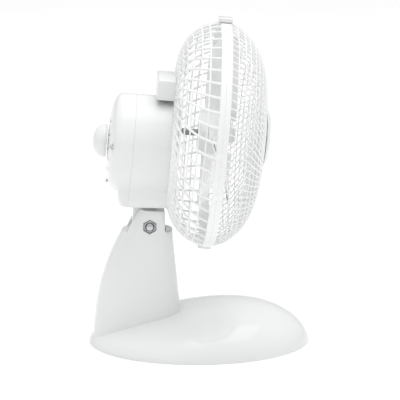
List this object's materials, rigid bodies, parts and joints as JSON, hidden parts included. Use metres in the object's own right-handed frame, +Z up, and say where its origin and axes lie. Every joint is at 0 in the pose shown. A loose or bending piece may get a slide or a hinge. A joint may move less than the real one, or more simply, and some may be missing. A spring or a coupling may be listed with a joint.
{
  "type": "desk fan",
  "caption": "Small desk fan: caged three-blade rotor and motor head on a tilting clevis, tapered column and low domed base.",
  "frame": {"origin": "on the ground, at the middle of the base", "axes": "+Z up, the fan blows towards -Y, +X to its left as it faces you"},
  "size_m": [0.2666, 0.264, 0.3919],
  "materials": {
    "white_plastic": "glossy moulded",
    "blade_plastic": "glossy moulded",
    "black_plastic": "matte",
    "rubber": "matte",
    "steel": "zinc plated",
    "core_steel": "laminated",
    "copper": "enamelled wire and sintered bronze"
  },
  "bodies": {
    "stand": {"base_shell": "white_plastic", "base_plate": "white_plastic", "base_screw_front_left": "steel", "base_screw_front_right": "steel", "base_screw_rear_left": "steel", "base_screw_rear_right": "steel", "foot_front_left": "rubber", "foot_front_right": "rubber", "foot_rear_left": "rubber", "foot_rear_right": "rubber", "column": "white_plastic", "column_screw_front": "steel", "column_screw_rear": "steel", "cord_inlet": "white_plastic", "tilt_bolt": "steel", "tilt_nut": "steel", "tilt_washer_left": "steel", "tilt_washer_right": "steel", "friction_disc_left": "black_plastic", "friction_disc_right": "black_plastic"},
    "head": {"tilt_lug": "white_plastic", "lug_screw_left": "steel", "lug_screw_right": "steel", "motor_shell": "white_plastic", "rear_cover": "white_plastic", "cover_screw_left": "steel", "cover_screw_right": "steel", "cover_screw_bottom": "steel", "rear_guard": "white_plastic", "front_guard": "white_plastic", "guard_nut": "white_plastic", "badge": "white_plastic", "carry_grip": "white_plastic", "stator_core": "core_steel", "winding_front": "copper", "winding_rear": "copper", "end_bracket_front": "steel", "end_bracket_rear": "steel", "bush_front": "copper", "bush_rear": "copper", "bracket_screw_left": "steel", "bracket_screw_right": "steel", "run_capacitor": "black_plastic", "speed_switch": "black_plastic"},
    "fan": {"fan_shaft": "steel", "rotor_core": "core_steel", "thrust_washer_front": "black_plastic", "thrust_washer_rear": "black_plastic", "fan_blade": "blade_plastic", "hub_nut": "white_plastic"},
    "knob": {"speed_knob": "white_plastic"},
    "clip_top": {"guard_clip_top": "white_plastic"},
    "clip_bottom": {"guard_clip_bottom": "white_plastic"}
  },
  "joints": [
    {"name": "head_tilt", "type": "hinge", "parent": "stand", "child": "head", "pos_m": [0, 0.059, 0.1465], "axis": [-1, 0, 0], "range_deg": [-5, 25]},
    {"name": "fan_spin", "type": "hinge", "parent": "head", "child": "fan", "pos_m": [0, -0.019, 0.253], "axis": [0, -0.9958, -0.0915], "continuous": true},
    {"name": "speed_select", "type": "hinge", "parent": "head", "child": "knob", "pos_m": [0, 0.10718, 0.24591], "axis": [0, 0.9958, 0.0915], "range_deg": [0, 120]},
    {"name": "clip_top_open", "type": "hinge", "parent": "head", "child": "clip_top", "pos_m": [0, -0.02354, 0.38655], "axis": [-1, 0, 0], "range_deg": [0, 80]},
    {"name": "clip_bottom_open", "type": "hinge", "parent": "head", "child": "clip_bottom", "pos_m": [0, 0.00087, 0.12086], "axis": [1, 0, 0], "range_deg": [0, 80]}
  ]
}
